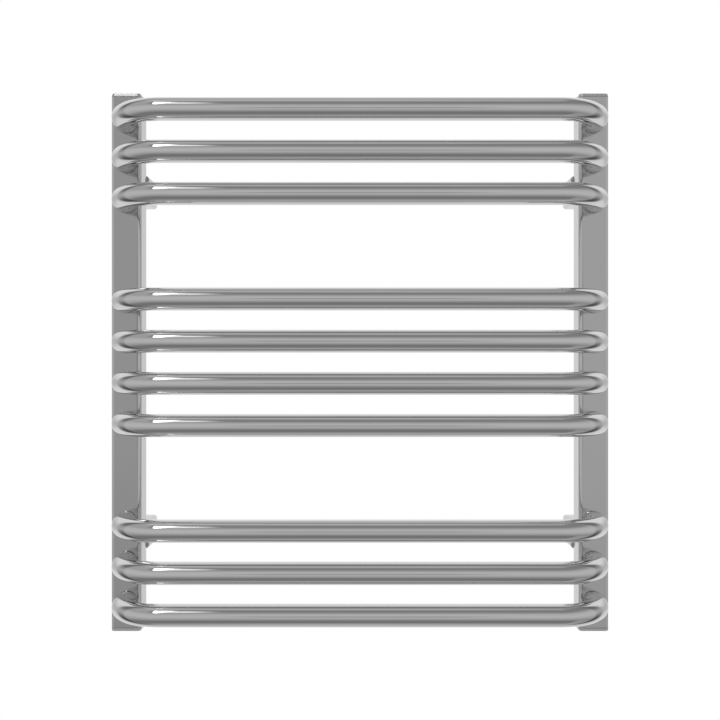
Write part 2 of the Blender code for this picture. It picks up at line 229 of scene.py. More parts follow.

# %% [markdown]
# The posts were belt-ground flat before they were plated, so their flats are greyer than the tubes.
# The left post's flats are darker still: a painted shade, lightening towards the right. Their
# corners get a lighter grey, a painted highlight along the edges. Where the corners are can be told
# from the place alone: far from the post's middle both ways. Two mixes over the plain chrome do
# this, one from left to right and one for the corners.


# %% Painted shade across the posts, and painted highlights on their corners
def ground_and_buffed(material, right_grey, corner_grey, reach):
    """Painted light: a shade lightening the flats towards the right, and a highlight on the corners
    further than reach from the middle.
    """
    tree = material.node_tree
    shader = tree.nodes["Principled BSDF"]
    left_colour = shader.inputs["Base Color"].links[0].from_socket
    place = add(tree, "ShaderNodeTexCoord").outputs["Object"]
    part = add(tree, "ShaderNodeSeparateXYZ", Vector=place).outputs
    either_post = maths(tree, "ABSOLUTE", part["X"])
    from_middle = [
        maths(tree, "ABSOLUTE", maths(tree, "SUBTRACT", either_post, post_x)),
        maths(tree, "ABSOLUTE", maths(tree, "SUBTRACT", part["Y"], post_y)),
    ]
    far = [between(tree, distance, 0.0, 1.0, reach, reach + SUPPORT) for distance in from_middle]
    corner = maths(tree, "MULTIPLY", *far)
    across = between(tree, part["X"], 0.0, 1.0, -post_x, post_x)
    flats = mix_colours(tree, across, left_colour, (right_grey, right_grey, right_grey, 1))
    colour = mix_colours(tree, corner, flats, (corner_grey, corner_grey, corner_grey, 1))
    tree.links.new(colour, shader.inputs["Base Color"])


# Painted light: the left post is shaded darker than the right, and the corners get a painted
# highlight.
corner_highlight_from = post_size / 2 - 0.7 * POST_CORNER
ground_and_buffed(post_chrome, right_grey=0.55, corner_grey=0.66, reach=corner_highlight_from)
print("painted corner highlight from", round(corner_highlight_from / MM, 1), "mm off the post's middle")

# %% [markdown]
# Steel under zinc has a spangle of pale and dark grains, and it is duller than chrome. The cast
# anchors are duller still, with a grain that can be felt. Rubber and plastic are not metals: their
# colour comes from inside, and a fine bump breaks up their shine.


# %% Plain metals, plastic and rubber
SPANGLE = 700  # grains in a metre
DULL_PATCHES = 180
CAST_GRAIN = 450
CAST_DEPTH = 0.1 * MM
BODY_PATCHES = 60
GRAIN_DEPTH = 0.05 * MM


def plated_steel():
    material, tree, shader, place = start_material("plated_steel", 0.35, metallic=1.0)
    grains = noise(tree, place, SPANGLE, detail=2)
    colour = greys(tree, grains, (0.42, 0.43, 0.44), (0.60, 0.61, 0.62))
    tree.links.new(colour, shader.inputs["Base Color"])
    dullness = between(tree, noise(tree, place, DULL_PATCHES), 0.28, 0.42)
    tree.links.new(dullness, shader.inputs["Roughness"])
    return material


def cast_zinc():
    material, tree, shader, place = start_material("cast_zinc", 0.5, metallic=1.0)
    grain = noise(tree, place, CAST_GRAIN, detail=6)
    colour = greys(tree, grain, (0.36, 0.36, 0.37), (0.50, 0.50, 0.51))
    tree.links.new(colour, shader.inputs["Base Color"])
    tree.links.new(between(tree, grain, 0.42, 0.62), shader.inputs["Roughness"])
    bump = add(tree, "ShaderNodeBump", Height=grain, Strength=0.3, Distance=CAST_DEPTH)
    tree.links.new(bump.outputs[0], shader.inputs["Normal"])
    return material


def moulded(name, dark, light, roughness, grain, strength):
    """Moulded plastic or rubber: a body colour with a fine grain."""
    material, tree, shader, place = start_material(name, sum(roughness) / 2)
    surface = noise(tree, place, grain, detail=4)
    colour = greys(tree, noise(tree, place, BODY_PATCHES), dark, light)
    tree.links.new(colour, shader.inputs["Base Color"])
    tree.links.new(between(tree, surface, *roughness), shader.inputs["Roughness"])
    bump = add(tree, "ShaderNodeBump", Height=surface, Strength=strength, Distance=GRAIN_DEPTH)
    tree.links.new(bump.outputs[0], shader.inputs["Normal"])
    return material


steel = plated_steel()
zinc = cast_zinc()
white_plastic = moulded(
    "white_plastic", (0.78, 0.78, 0.76), (0.84, 0.84, 0.82),
    roughness=(0.35, 0.5), grain=1500, strength=0.2,
)
black_rubber = moulded(
    "black_rubber", (0.018, 0.018, 0.018), (0.035, 0.035, 0.036),
    roughness=(0.55, 0.8), grain=2200, strength=0.4,
)
print("finishes:", len(bpy.data.materials))

# %% [markdown]
# ## Tubes
# Each towel tube is one length of round tube, bent through a quarter turn at both ends. In Geometry
# Nodes that is four corner points made into a curve, a Fillet Curve node for the two bends, and a
# circle carried along it. A Solidify modifier gives the wall, so the ends are open into the posts.


# %% Helpers that run a node tree and keep its mesh
def new_tree(name, inputs):
    """Geometry Nodes tree with named inputs and one geometry output."""
    tree = bpy.data.node_groups.new(name, "GeometryNodeTree")
    tree.interface.new_socket("Geometry", in_out="INPUT", socket_type="NodeSocketGeometry")
    for label, kind in inputs.items():
        tree.interface.new_socket(label, in_out="INPUT", socket_type=kind)
    tree.interface.new_socket("Geometry", in_out="OUTPUT", socket_type="NodeSocketGeometry")
    return tree, tree.nodes.new("NodeGroupInput"), tree.nodes.new("NodeGroupOutput")


def end_tree(tree, geometry, finish, output, smooth=None):
    """Every tree ends the same way: real geometry, shading where it is given, and a material."""
    last = add(tree, "GeometryNodeRealizeInstances", Geometry=geometry)
    if smooth is not None:
        last = add(
            tree, "GeometryNodeSetShadeSmooth", Geometry=last.outputs[0], Shade_Smooth=smooth
        )
    painted = add(tree, "GeometryNodeSetMaterial", Geometry=last.outputs[0], Material=finish)
    tree.links.new(painted.outputs[0], output.inputs[0])


def run_tree(name, tree, values, start=None, wall=0.0):
    """Run a tree on a mesh and keep the result as a plain mesh object."""
    piece = bpy.data.objects.new(name, start or bpy.data.meshes.new(name))
    scene.collection.objects.link(piece)
    nodes = piece.modifiers.new("shape", "NODES")
    nodes.node_group = tree
    for item in tree.interface.items_tree:
        if item.in_out == "INPUT" and item.name in values:
            nodes[item.identifier] = values[item.name]
    if wall:
        shell = piece.modifiers.new("wall", "SOLIDIFY")
        shell.thickness = wall
        shell.offset = -1
        shell.use_even_offset = True
    evaluated = piece.evaluated_get(bpy.context.evaluated_depsgraph_get())
    mesh = bpy.data.meshes.new_from_object(evaluated)
    piece.modifiers.clear()
    piece.data = mesh
    mesh.name = name
    return piece


# %% The bent tube's tree
def bent_tube_tree():
    labels = ["Half Span", "Front", "Back", "Height", "Bend Radius", "Tube Radius"]
    inputs = {label: "NodeSocketFloat" for label in labels}
    inputs.update({"Bend Steps": "NodeSocketInt", "Sides": "NodeSocketInt"})
    inputs["Finish"] = "NodeSocketMaterial"
    tree, given, output = new_tree("bent_tube", inputs)
    value = given.outputs
    left = maths(tree, "MULTIPLY", value["Half Span"], -1.0)
    pick = add(tree, "GeometryNodeIndexSwitch", {"data_type": "VECTOR"})
    for _ in range(2):  # the node starts with two choices, and there are four corners
        pick.index_switch_items.new()
    tree.links.new(add(tree, "GeometryNodeInputIndex").outputs[0], pick.inputs["Index"])
    right = value["Half Span"]
    corners = [(left, "Back"), (left, "Front"), (right, "Front"), (right, "Back")]
    for i, (x, y) in enumerate(corners):
        corner = add(tree, "ShaderNodeCombineXYZ", X=x, Y=value[y], Z=value["Height"])
        tree.links.new(corner.outputs[0], pick.inputs[i + 1])
    points = add(tree, "GeometryNodePoints", Count=4, Position=pick.outputs[0])
    path = add(tree, "GeometryNodePointsToCurves", Points=points.outputs[0])
    bends = add(
        tree, "GeometryNodeFilletCurve", {"mode": "POLY"},
        Curve=path.outputs[0], Count=value["Bend Steps"], Radius=value["Bend Radius"],
    )
    ring = add(
        tree, "GeometryNodeCurvePrimitiveCircle",
        Resolution=value["Sides"], Radius=value["Tube Radius"],
    )
    swept = add(
        tree, "GeometryNodeCurveToMesh", Curve=bends.outputs[0], Profile_Curve=ring.outputs[0]
    )
    end_tree(tree, swept.outputs[0], value["Finish"], output, smooth=True)
    return tree


# %% Make the ten tubes
tube_tree = bent_tube_tree()
tube_values = {
    "Half Span": post_x,
    "Front": tube_front_y,
    "Back": tube_end_y,
    "Bend Radius": BEND_RADIUS,
    "Tube Radius": tube_radius,
    "Bend Steps": 24,
    "Sides": TUBE_SIDES,
    "Finish": tube_chrome,
}
for node_name, height in zip(tube_names, tube_heights):
    tube_values["Height"] = height
    tube = run_tree(f"{node_name}_tube", tube_tree, tube_values, wall=TUBE_WALL)
    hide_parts(node_name)
    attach(tube, "rack")
print("faces in one tube:", len(tube.data.polygons))

# %% [markdown]
# ## Posts
# A post is a square tube with small round corners, so each corner is drawn as an arc of twelve
# steps. A second, straight edge lies just outside each arc. Smooth shading averages the normals
# of the faces round a point, and without that support edge the whole flat would seem to bulge.


# %% Outlines
def rounded_square(width, height, corner, steps=12, support=SUPPORT):
    """Outline in XY, anticlockwise: four arcs, each with a support point before and after it."""
    points = []
    for quarter in range(4):
        turn = quarter * pi / 2
        centre = Vector(
            (
                (width / 2 - corner) * (1 if quarter in (0, 3) else -1),
                (height / 2 - corner) * (1 if quarter in (0, 1) else -1),
            )
        )
        arc = [turn + i / steps * pi / 2 for i in range(steps + 1)]
        on_arc = [centre + corner * Vector((cos(a), sin(a))) for a in arc]
        before = on_arc[0] - support * Vector((-sin(arc[0]), cos(arc[0])))
        after = on_arc[-1] + support * Vector((-sin(arc[-1]), cos(arc[-1])))
        points += [before, *on_arc, after]
    return points


def round_like(outline, radius):
    """Circle with one point in the direction of each point of an outline."""
    return [p.normalized() * radius for p in outline]


HEXAGON_STEPS = 60  # a multiple of twelve, so that a step falls on each corner


def hexagon(flat, limit, steps=HEXAGON_STEPS):
    """Six-sided outline, its corners turned down to a circle of radius limit."""
    points = []
    for i in range(steps):
        angle = 2 * pi * i / steps
        from_flat = (angle + pi / 6) % (pi / 3) - pi / 6
        points.append(min(limit, flat / cos(from_flat)) * Vector((cos(angle), sin(angle))))
    return points


def circle(radius, steps=HEXAGON_STEPS):
    angles = [2 * pi * i / steps for i in range(steps)]
    return [radius * Vector((cos(a), sin(a))) for a in angles]


# %% A skin over stacked outlines
def skin(stack, closed=False):
    """Skin stacked (outline, z) loops with quads, with end faces unless the stack is a ring."""
    bm = bmesh.new()
    loops = [[bm.verts.new((p.x, p.y, z)) for p in outline] for outline, z in stack]
    pairs = list(zip(loops, loops[1:]))
    if closed:
        pairs.append((loops[-1], loops[0]))
    for low, high in pairs:
        for i in range(len(low)):
            bm.faces.new((low[i - 1], low[i], high[i], high[i - 1]))
    if not closed:
        bm.faces.new(reversed(loops[0]))
        bm.faces.new(loops[-1])
    bmesh.ops.remove_doubles(bm, verts=bm.verts, dist=1e-7)
    bmesh.ops.recalc_face_normals(bm, faces=bm.faces)
    return bm


def turned(profile, steps=HEXAGON_STEPS, closed=False):
    """Piece turned on a lathe from (radius, z) points."""
    return skin([(circle(radius, steps), z) for radius, z in profile], closed)


def place(bm, name, finish, position=(0, 0, 0), turn=Matrix()):
    """Turn a bmesh into an object whose place is in its mesh."""
    bm.transform(Matrix.Translation(Vector(position)) @ turn)
    mesh = bpy.data.meshes.new(name)
    bm.to_mesh(mesh)
    bm.free()
    mesh.shade_smooth()
    mesh.set_sharp_from_angle(angle=SHARP_ANGLE)
    mesh.materials.append(finish)
    piece = bpy.data.objects.new(name, mesh)
    scene.collection.objects.link(piece)
    return piece


def cut(piece, cutters):
    """Take cutters, each a bmesh in the scene's frame, out of a piece."""
    tools = []
    for bm in cutters:
        tool = place(bm, "cutter", piece.data.materials[0])
        boolean = piece.modifiers.new("cut", "BOOLEAN")
        boolean.object = tool
        boolean.solver = "EXACT"
        tools.append(tool)
    evaluated = piece.evaluated_get(bpy.context.evaluated_depsgraph_get())
    mesh = bpy.data.meshes.new_from_object(evaluated)
    mesh.set_sharp_from_angle(angle=SHARP_ANGLE)
    piece.modifiers.clear()
    piece.data = mesh
    mesh.name = piece.name
    for tool in tools:
        bpy.data.objects.remove(tool)
    return piece


TOWARDS_WALL = Matrix.Rotation(radians(-90), 4, "X")  # turns +Z to point at the wall
AWAY_FROM_WALL = Matrix.Rotation(radians(90), 4, "X")


def bar_cutter(radius, low, high, position, turn):
    """A round bar to drill with, from low to high along the way it is turned."""
    bm = turned([(radius, low), (radius, high)], TUBE_SIDES)
    bm.transform(Matrix.Translation(Vector(position)) @ turn)
    return bm


# %% Make the posts
tube_hole = tube_radius + PLAY
INSERT_HOLE = 5.3 * MM
for side, x in SIDES.items():
    low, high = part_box(f"{side}_post")
    outer = rounded_square(post_size, post_size, POST_CORNER)
    bore = post_size - 2 * POST_WALL
    inner = rounded_square(bore, bore, POST_CORNER - POST_WALL)
    stack = [(outer, low.z), (outer, high.z), (inner, high.z), (inner, low.z)]
    post = place(skin(stack, closed=True), f"{side}_square_post", post_chrome, (x, post_y, 0))
    holes = [
        bar_cutter(tube_hole, 0, post_size, (x, post_y, z), AWAY_FROM_WALL) for z in tube_heights
    ]
    for bracket in BRACKETS:
        if side in bracket:
            where = (x, post_y, middle_of(f"{bracket}_insert").z)
            holes.append(bar_cutter(INSERT_HOLE, 0, post_size, where, TOWARDS_WALL))
    cut(post, holes)
    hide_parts(f"{side}_post")
    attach(post, "rack")
    print(post.name, len(post.data.polygons), "faces")

# %% [markdown]
# Where a tube enters its post, the joint is brazed and polished down to a narrow bead. There are
# twenty alike, so one ring is modelled and set at twenty points by Geometry Nodes. The same tree
# serves every other small piece that repeats.


# %% One tree for whatever repeats
def repeat_tree():
    inputs = {"Piece": "NodeSocketObject", "Finish": "NodeSocketMaterial"}
    tree, given, output = new_tree("piece_on_each_point", inputs)
    pattern = add(tree, "GeometryNodeObjectInfo", Object=given.outputs["Piece"])
    pattern.inputs["As Instance"].default_value = True
    copies = add(
        tree, "GeometryNodeInstanceOnPoints",
        Points=given.outputs["Geometry"], Instance=pattern.outputs["Geometry"],
    )
    end_tree(tree, copies.outputs[0], given.outputs["Finish"], output)
    return tree


piece_on_each_point = repeat_tree()


def repeat(name, bm, places, finish, turn=Matrix()):
    """Set copies of a small piece at the given places, as one mesh."""
    pattern = place(bm, f"{name}_pattern", finish, turn=turn)
    points = bpy.data.meshes.new(name)
    points.from_pydata([tuple(p) for p in places], [], [])
    copies = run_tree(name, piece_on_each_point, {"Piece": pattern, "Finish": finish}, points)
    bpy.data.objects.remove(pattern)
    copies.data.set_sharp_from_angle(angle=SHARP_ANGLE)
    return copies


# %% Set the twenty beads
BEAD = 0.25 * MM
BEAD_RISE = 0.8 * BEAD
BEAD_OVERLAP = 0.2 * MM  # how far the bead's root reaches into the tube's wall
BEAD_ROOT = -0.3 * MM  # how deep it lies in the post's hole
BEAD_STEPS = 8
bead_angles = [pi * i / BEAD_STEPS for i in range(BEAD_STEPS + 1)]
bead_section = [(tube_radius + BEAD * cos(a), BEAD_RISE * sin(a)) for a in bead_angles]
bead_section += [(tube_radius - BEAD_OVERLAP, BEAD_ROOT), (tube_radius + BEAD, BEAD_ROOT)]
bead = turned(bead_section, TUBE_SIDES, closed=True)
bead_places = [(x, post_front_y, z) for x in SIDES.values() for z in tube_heights]
beads = repeat("brazed_beads", bead, bead_places, bead_chrome, AWAY_FROM_WALL)
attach(beads, "rack")
print(len(bead_places), "beads,", len(beads.data.polygons), "faces")

# %% [markdown]
# ## End caps
# The caps are pressed into the posts. The side of a top cap leans in a little and is rolled over
# at the edge, so that it looks up at the lamp and draws a bright line along the top of the post.
# The join stays visible as a hairline, because there is a gap between the cap and the post, and
# the cap's edge has a tiny chamfer there.


# %% Outlines of a cap, from its seam to its outer face
CAP_CHAMFER = 0.15 * MM
TOP_LEAN = 0.45 * MM  # how far the side leans in below the rolled edge
BOTTOM_LEAN = 0.1 * MM
CROWN = 0.15  # the share of the lean that comes late, so that the side is a little crowned
LEAN_ANGLE = radians(15)
SIDE_STEPS = 6
RIM_STEPS = 6
cap_low, cap_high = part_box("left_top_cap")
seam_z = post_high.z + PLAY
cap_thickness = cap_high.z - seam_z


def square_inset(inset):
    """The post's outline, drawn in by a distance."""
    size = post_size - 2 * inset
    return rounded_square(size, size, max(POST_CORNER - inset, 0.3 * MM))


def rim_stack(side_lean):
    """The chamfer at the seam, the crowned side, the rolled edge and a support line."""
    stack = [(square_inset(CAP_CHAMFER), 0), (square_inset(0), CAP_CHAMFER)]
    roll_z = cap_thickness - CAP_ROUND
    for i in range(1, SIDE_STEPS + 1):
        share = i / SIDE_STEPS
        crowned = share * (1 - CROWN + CROWN * share)
        z = CAP_CHAMFER + share * (roll_z - CAP_CHAMFER)
        stack.append((square_inset(side_lean * crowned), z))
    for i in range(1, RIM_STEPS + 1):
        angle = LEAN_ANGLE + i / RIM_STEPS * (pi / 2 - LEAN_ANGLE)
        inset = side_lean + CAP_ROUND * (cos(LEAN_ANGLE) - cos(angle))
        stack.append((square_inset(inset), cap_thickness - CAP_ROUND * (1 - sin(angle))))
    stack.append((square_inset(inset + SUPPORT), cap_thickness))
    return stack


# %% Make the caps
UPSIDE_DOWN = Matrix.Rotation(pi, 4, "X")
SOCKET_NECK = 12 * MM  # the radius of the pipe socket where it passes the bottom cap
spigot = square_inset(POST_WALL + PLAY)
spigot_length = seam_z - cap_low.z
hole = round_like(square_inset(0), SOCKET_NECK + PLAY)
for side, x in SIDES.items():
    top = place(
        skin([(spigot, -spigot_length), (spigot, 0), *rim_stack(TOP_LEAN)]),
        f"{side}_rolled_top_cap", cap_chrome, (x, post_y, seam_z),
    )
    bottom = place(
        skin([(hole, 0), *rim_stack(BOTTOM_LEAN), (hole, cap_thickness)], closed=True),
        f"{side}_rolled_bottom_cap", cap_chrome, (x, post_y, -seam_z), UPSIDE_DOWN,
    )
    for cap, node_name in ((top, f"{side}_top_cap"), (bottom, f"{side}_bottom_cap")):
        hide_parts(node_name)
        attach(cap, "rack")
print("cap thickness", round(cap_thickness / MM, 2), "mm")

# %% [markdown]
# ## Pipe sockets
# The valves screw into the feet of the posts. A half inch pipe thread has fourteen turns to the
# inch. A thread is a ridge that follows a spiral, so it is a path job: a Spiral curve with a
# diamond carried along it, half sunk in the bore so that only its crest stands out.


# %% The thread's tree
THREAD_PITCH = 25.4 * MM / 14
THREAD_DEPTH = 0.9 * MM


def thread_tree():
    inputs = {
        "Radius": "NodeSocketFloat", "Depth": "NodeSocketFloat",
        "Turns": "NodeSocketFloat", "Length": "NodeSocketFloat", "Finish": "NodeSocketMaterial",
    }
    tree, given, output = new_tree("inner_thread", inputs)
    value = given.outputs
    spiral = add(
        tree, "GeometryNodeCurveSpiral", Resolution=40, Rotations=value["Turns"],
        Start_Radius=value["Radius"], End_Radius=value["Radius"], Height=value["Length"],
    )
    upright = add(tree, "GeometryNodeSetCurveNormal", {"mode": "Z_UP"}, Curve=spiral.outputs[0])
    diamond = add(tree, "GeometryNodeCurvePrimitiveCircle", Resolution=4, Radius=value["Depth"])
    ridge = add(
        tree, "GeometryNodeCurveToMesh", Curve=upright.outputs[0],
        Profile_Curve=diamond.outputs[0], Fill_Caps=True,
    )
    end_tree(tree, ridge.outputs[0], value["Finish"], output, smooth=False)
    return tree


# %% Make the sockets and their threads
socket_low, socket_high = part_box("left_pipe_socket")
socket_length = socket_high.z - socket_low.z
socket_radius = (socket_high.x - socket_low.x) / 2
MINOR_RADIUS = 9.3 * MM
MOUTH = 0.6 * MM  # the chamfer that leads the pipe in
NECK_EDGE = 0.2 * MM
THREAD_START = 1.1 * MM
THREAD_TURNS = 8.0
bore_radius = MINOR_RADIUS + THREAD_DEPTH
shoulder = cap_thickness + 2 * PLAY
socket_profile = [
    (bore_radius + MOUTH, 0),
    (SOCKET_NECK - NECK_EDGE, 0),
    (SOCKET_NECK, NECK_EDGE),
    (SOCKET_NECK, shoulder),
    (socket_radius, shoulder),
    (socket_radius, socket_length),
    (bore_radius, socket_length),
    (bore_radius, MOUTH),
]
inner_thread = thread_tree()
for side, x in SIDES.items():
    socket = place(
        turned(socket_profile, TUBE_SIDES, closed=True), f"{side}_socket_bush", steel,
        (x, post_y, socket_low.z),
    )
    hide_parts(f"{side}_pipe_socket")
    thread_values = {
        "Radius": bore_radius, "Depth": THREAD_DEPTH, "Turns": THREAD_TURNS,
        "Length": THREAD_TURNS * THREAD_PITCH, "Finish": steel,
    }
    thread = run_tree(f"{side}_socket_thread", inner_thread, thread_values)
    thread.data.transform(Matrix.Translation((x, post_y, socket_low.z + THREAD_START)))
    for piece in (socket, thread):
        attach(piece, "rack")
print("thread", [round(v / MM, 1) for v in thread.dimensions], "mm")

# %% [markdown]
# ## Brackets
# A bracket is a block on the wall and a sleeve that slides over it, locked by a grub screw from
# below. The sleeve is a closed shell: an outer skin, a rounded front edge, and a pocket. Both are
# one stack of outlines, from the pocket's floor out to the open rim and round to the front.


# %% Make the sleeves
SLEEVE_EDGE = 0.5 * MM
EDGE_STEPS = 4
GRUB_Y = -12 * MM
GRUB_HOLE = 2.5 * MM


def sleeve_stack(width, height, near, far):
    """Outlines along the sleeve, from the pocket's floor to the front face."""

    def outline(inset):
        corner = max(SLEEVE_CORNER - inset, 0.4 * MM)
        return rounded_square(width - 2 * inset, height - 2 * inset, corner, steps=8)

    stack = [(outline(SLEEVE_WALL), far - SLEEVE_FRONT), (outline(SLEEVE_WALL), near)]
    stack += [(outline(SLEEVE_EDGE / 2), near), (outline(0), near + SLEEVE_EDGE / 2)]
    for i in range(EDGE_STEPS + 1):
        angle = i / EDGE_STEPS * pi / 2
        rounded = outline(SLEEVE_EDGE * (1 - cos(angle)))
        stack.append((rounded, far - SLEEVE_EDGE * (1 - sin(angle))))
    return stack


for bracket in BRACKETS:
    low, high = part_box(f"{bracket}_sleeve")
    middle = (low + high) / 2
    stack = sleeve_stack(high.x - low.x, high.z - low.z, -high.y, -low.y)
    sleeve = place(
        skin(stack), f"{bracket}_cover", sleeve_chrome, (middle.x, 0, middle.z), AWAY_FROM_WALL
    )
    hole_place = (middle.x, GRUB_Y, low.z)
    cut(sleeve, [bar_cutter(GRUB_HOLE, -SLEEVE_WALL, 3 * SLEEVE_WALL, hole_place, Matrix())])
    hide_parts(f"{bracket}_sleeve")
    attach(sleeve, "rack")
print(len(BRACKETS), "sleeves", [round(v / MM, 1) for v in high - low], "mm")

# %% [markdown]
# The grub screws are four alike. Each has a chamfered mouth and a six-sided key socket. A hexagon
# can't be turned on a lathe, so the screw is a stack that changes from round to six-sided.

# %% Set the grub screws
GRUB_RADIUS = 2.2 * MM
GRUB_LENGTH = 2 * MM
GRUB_POINT = 0.4 * MM  # the length of its blunt point
GRUB_MOUTH = 0.25 * MM
GRUB_KEY_MOUTH = 1.35 * MM
grub_key = hexagon(1.04 * MM, 1.2 * MM)
grub_stack = [
    (circle(GRUB_RADIUS * 0.6), GRUB_LENGTH),
    (circle(GRUB_RADIUS), GRUB_LENGTH - GRUB_POINT),
    (circle(GRUB_RADIUS), GRUB_MOUTH),
    (circle(GRUB_RADIUS - GRUB_MOUTH), 0),
    (circle(GRUB_KEY_MOUTH), 0),
    (grub_key, 0.2 * MM),
    (grub_key, 1.1 * MM),
]
grub_places = [
    (middle_of(f"{b}_grub_screw").x, GRUB_Y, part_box(f"{b}_sleeve")[0].z) for b in BRACKETS
]
grubs = repeat("grub_screws", skin(grub_stack), grub_places, steel)
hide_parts(*[f"{b}_grub_screw" for b in BRACKETS])
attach(grubs, "rack")
print("grub screws:", len(grub_places))

# %% [markdown]
# Inside each sleeve are the block on the wall, the screw into the post and the insert that takes
# it. They are plain, and hardly seen, so they keep their shape from the frame. Only their finish
# is new: cast zinc for the block, and zinc-plated steel for the other two.

# %% The pieces inside get their finish
for bracket in BRACKETS:
    for part, finish in (("anchor", zinc), ("screw", steel), ("insert", steel)):
        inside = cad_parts[f"{bracket}_{part}"]
        for slot in inside.material_slots:
            slot.material = finish
    print(bracket, "anchor, screw and insert finished")

# %% [markdown]
# ## Vent and plug
# Behind the top of each post a fitting closes the hole for the air. On the left it is a vent: a
# six-sided body on an O-ring, a screw with a slotted head, and a plastic nozzle that turns on its
# neck. On the right it is a plain plug with a key socket. Each is a turned profile or a stack of
# outlines, whose z starts on the back of the post and runs towards the wall.

# %% Where the fittings are
vent_middle = middle_of("vent_body")
plug_middle = middle_of("blanking_plug")
vent_place = (vent_middle.x, post_back_y, vent_middle.z)
plug_place = (plug_middle.x, post_back_y, plug_middle.z)
SHANK, SHANK_LENGTH = 6.3 * MM, 6 * MM
FLANGE = 10 * MM  # a radius, as all of these are but the lengths
FLAT = 8.66 * MM
NECK = 5 * MM
flange_start = 2.6 * MM
flange_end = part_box("blanking_plug")[1].y - post_back_y
neck_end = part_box("vent_body")[1].y - post_back_y
print("flange", round(flange_start / MM, 1), "to", round(flange_end / MM, 1), "mm")

# %% O-rings
SEAL = 1 * MM
SEAL_STEPS = 20
seal_middle = flange_start / 2
seal_angles = [2 * pi * i / SEAL_STEPS for i in range(SEAL_STEPS)]
seal_section = [
    (SHANK + seal_middle + SEAL * cos(a), seal_middle + SEAL * sin(a)) for a in seal_angles
]
for node_name, where in (("vent_seal", vent_place), ("plug_seal", plug_place)):
    ring = turned(seal_section, closed=True)
    seal = place(ring, f"{node_name}_ring", black_rubber, where, TOWARDS_WALL)
    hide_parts(node_name)
    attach(seal, "rack")
print("O-ring", [round(v / MM, 1) for v in seal.dimensions], "mm")

# %% The vent's body
VENT_BORE = 2.7 * MM
EDGE = 0.3 * MM
vent_stack = [
    (circle(VENT_BORE), -SHANK_LENGTH),
    (circle(SHANK - EDGE), -SHANK_LENGTH),
    (circle(SHANK), EDGE - SHANK_LENGTH),
    (circle(SHANK), flange_start),
    (hexagon(FLAT, FLAT), flange_start),
    (hexagon(FLAT, FLANGE), flange_start + 2 * EDGE),
    (hexagon(FLAT, FLANGE), flange_end - 2 * EDGE),
    (hexagon(FLAT, FLAT), flange_end),
    (circle(NECK), flange_end),
    (circle(NECK), neck_end - EDGE),
    (circle(NECK - EDGE), neck_end),
    (circle(VENT_BORE), neck_end),
]
vent_skin = skin(vent_stack, closed=True)
vent = place(vent_skin, "vent_hexagon_body", fitting_chrome, vent_place, TOWARDS_WALL)
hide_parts("vent_body")
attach(vent, "rack")
print("vent body", [round(v / MM, 1) for v in vent.dimensions], "mm")

# %% [markdown]
# Fingers turn the nozzle and the plug, so both have ribs round their edge. A rib is a short rod
# half sunk in the rim. The tree sets rods on the points of a circle, and takes their number, their
# length and the circle's radius as inputs, so that one tree serves both.


# %% The ribs' tree
def rib_tree():
    inputs = {
        label: "NodeSocketFloat" for label in ("Rim Radius", "Rib Radius", "Start", "End")
    }
    inputs.update({"Count": "NodeSocketInt", "Finish": "NodeSocketMaterial"})
    tree, given, output = new_tree("ribs_round_a_rim", inputs)
    value = given.outputs
    rim = add(tree, "GeometryNodeMeshCircle", Vertices=value["Count"], Radius=value["Rim Radius"])
    low = add(tree, "ShaderNodeCombineXYZ", Z=value["Start"])
    high = add(tree, "ShaderNodeCombineXYZ", Z=value["End"])
    line = add(tree, "GeometryNodeCurvePrimitiveLine", Start=low.outputs[0], End=high.outputs[0])
    section = add(
        tree, "GeometryNodeCurvePrimitiveCircle", Resolution=10, Radius=value["Rib Radius"]
    )
    rod = add(
        tree, "GeometryNodeCurveToMesh", Curve=line.outputs[0],
        Profile_Curve=section.outputs[0], Fill_Caps=True,
    )
    rods = add(
        tree, "GeometryNodeInstanceOnPoints", Points=rim.outputs[0], Instance=rod.outputs[0]
    )
    end_tree(tree, rods.outputs[0], value["Finish"], output, smooth=True)
    return tree


ribs_round_a_rim = rib_tree()
RIB_SHARP_ANGLE = radians(50)  # a rod has ten sides, and its end edges are sharp


def ribs(name, count, rim, rib, start, end, finish, where):
    """Ribs from start to end round a rim at a fitting's place."""
    values = {
        "Count": count, "Rim Radius": rim, "Rib Radius": rib,
        "Start": start, "End": end, "Finish": finish,
    }
    piece = run_tree(name, ribs_round_a_rim, values)
    piece.data.transform(Matrix.Translation(Vector(where)) @ TOWARDS_WALL)
    piece.data.set_sharp_from_angle(angle=RIB_SHARP_ANGLE)
    return piece


# %% The nozzle
NOZZLE = 8 * MM
NOZZLE_RIM = NOZZLE - 0.3 * MM  # where the ribs are half sunk
NOZZLE_RIB = 0.45 * MM
NOZZLE_BORE = NECK + 0.45 * MM
nozzle_start, nozzle_end = flange_end + PLAY, neck_end - PLAY
nozzle_section = [
    (NOZZLE_BORE, nozzle_start),
    (NOZZLE - 0.8 * MM, nozzle_start),
    (NOZZLE_RIM, nozzle_start + 0.5 * MM),
    (NOZZLE_RIM, nozzle_end - 1.0 * MM),
    (NOZZLE - 0.9 * MM, nozzle_end - 0.3 * MM),
    (NOZZLE - 1.4 * MM, nozzle_end),
    (NOZZLE_BORE, nozzle_end),
]
collar = turned(nozzle_section, closed=True)
SPOUT, SPOUT_BORE = 1.8 * MM, 0.9 * MM
SPOUT_START, SPOUT_END = 5.8 * MM, 10 * MM
SPOUT_STEPS = 32
spout_section = [
    (SPOUT_BORE, SPOUT_START),
    (SPOUT, SPOUT_START),
    (SPOUT, SPOUT_END - EDGE),
    (SPOUT - EDGE, SPOUT_END),
    (SPOUT_BORE, SPOUT_END),
]
spout = turned(spout_section, SPOUT_STEPS, closed=True)
spout_middle = (nozzle_start + nozzle_end) / 2
